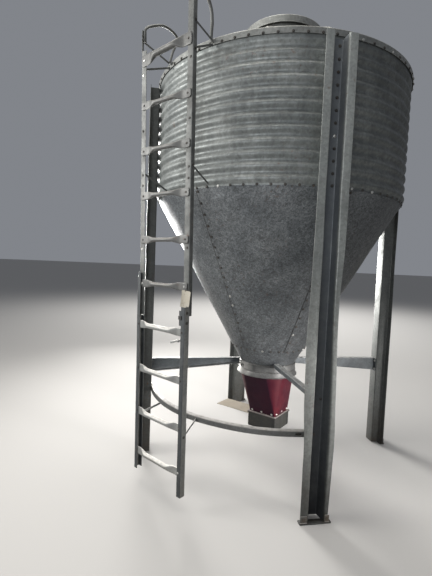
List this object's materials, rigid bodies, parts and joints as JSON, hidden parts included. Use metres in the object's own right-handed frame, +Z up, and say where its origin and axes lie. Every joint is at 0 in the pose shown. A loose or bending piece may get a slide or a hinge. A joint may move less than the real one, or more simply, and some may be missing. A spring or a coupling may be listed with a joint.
{
  "type": "hopper-bottom grain silo",
  "caption": "Corrugated round silo with conical roof and hinged fill lid, bolted hopper cone, boot with slide gate, braced channel legs and an access ladder.",
  "frame": {"origin": "centre of the bounding box at ground level, under the feet; the silo's own axis is 119.22 mm towards +Y of it", "axes": "+Z up; -Y is the ladder side; the legs stand 1 to 3 degrees off the diagonals between the axes"},
  "size_m": [2.0632, 2.3016, 3.584],
  "materials": {
    "wall_sheet": "weathered corrugated sheet, dull with dust and dark bolt heads",
    "roof_sheet": "weathered flat sheet, dull",
    "hopper_sheet": "smooth sheet with mottled spangle",
    "leg_steel": "folded section, dull, dusty",
    "bright_steel": "rolled angle, rubbed bright along its edge",
    "ladder_steel": "weathered, worn and slightly bent",
    "rung_steel": "tube worn smooth by feet",
    "dark_steel": "dark, grimy",
    "gate_plate": "flat plate covered with grain dust",
    "boot_plastic": "moulded maroon plastic, satin, dusty"
  },
  "bodies": {
    "root": {"wall_sheet_front": "wall_sheet", "wall_sheet_right": "wall_sheet", "wall_sheet_back": "wall_sheet", "wall_sheet_left": "wall_sheet", "roof_panel_front": "roof_sheet", "roof_panel_right": "roof_sheet", "roof_panel_back": "roof_sheet", "roof_panel_left": "roof_sheet", "hopper_gore_1": "hopper_sheet", "hopper_gore_2": "hopper_sheet", "hopper_gore_3": "hopper_sheet", "hopper_gore_4": "hopper_sheet", "hopper_gore_5": "hopper_sheet", "hopper_gore_6": "hopper_sheet", "hopper_outlet": "hopper_sheet", "boot": "boot_plastic", "gate_housing": "dark_steel", "fill_collar": "roof_sheet", "ladder_rail": "bright_steel", "leg_front_left": "leg_steel", "leg_front_right": "leg_steel", "leg_back_right": "leg_steel", "leg_back_left": "leg_steel", "brace_front_left": "leg_steel", "brace_front_right": "leg_steel", "brace_back_right": "leg_steel", "brace_back_left": "leg_steel", "ladder_upper_stile_left": "ladder_steel", "ladder_lower_stile_left": "ladder_steel", "ladder_hoop_left": "ladder_steel", "ladder_upper_stile_right": "ladder_steel", "ladder_lower_stile_right": "ladder_steel", "ladder_hoop_right": "ladder_steel", "rung_1": "rung_steel", "rung_2": "rung_steel", "rung_3": "rung_steel", "rung_4": "rung_steel", "rung_5": "rung_steel", "rung_6": "rung_steel", "rung_7": "rung_steel", "rung_8": "rung_steel", "rung_9": "rung_steel", "rung_10": "rung_steel"},
    "fill_lid": {"fill_lid": "roof_sheet"},
    "gate_plate": {"gate_plate": "gate_plate"}
  },
  "joints": [
    {"name": "fill_lid_hinge", "type": "hinge", "parent": "root", "child": "fill_lid", "pos_m": [0, 0.50422, 3.504], "axis": [-1, 0, 0], "range_deg": [0, 110]},
    {"name": "slide_gate", "type": "slide", "parent": "root", "child": "gate_plate", "axis": [1, 0, 0], "range_m": [0, 0.236]}
  ]
}
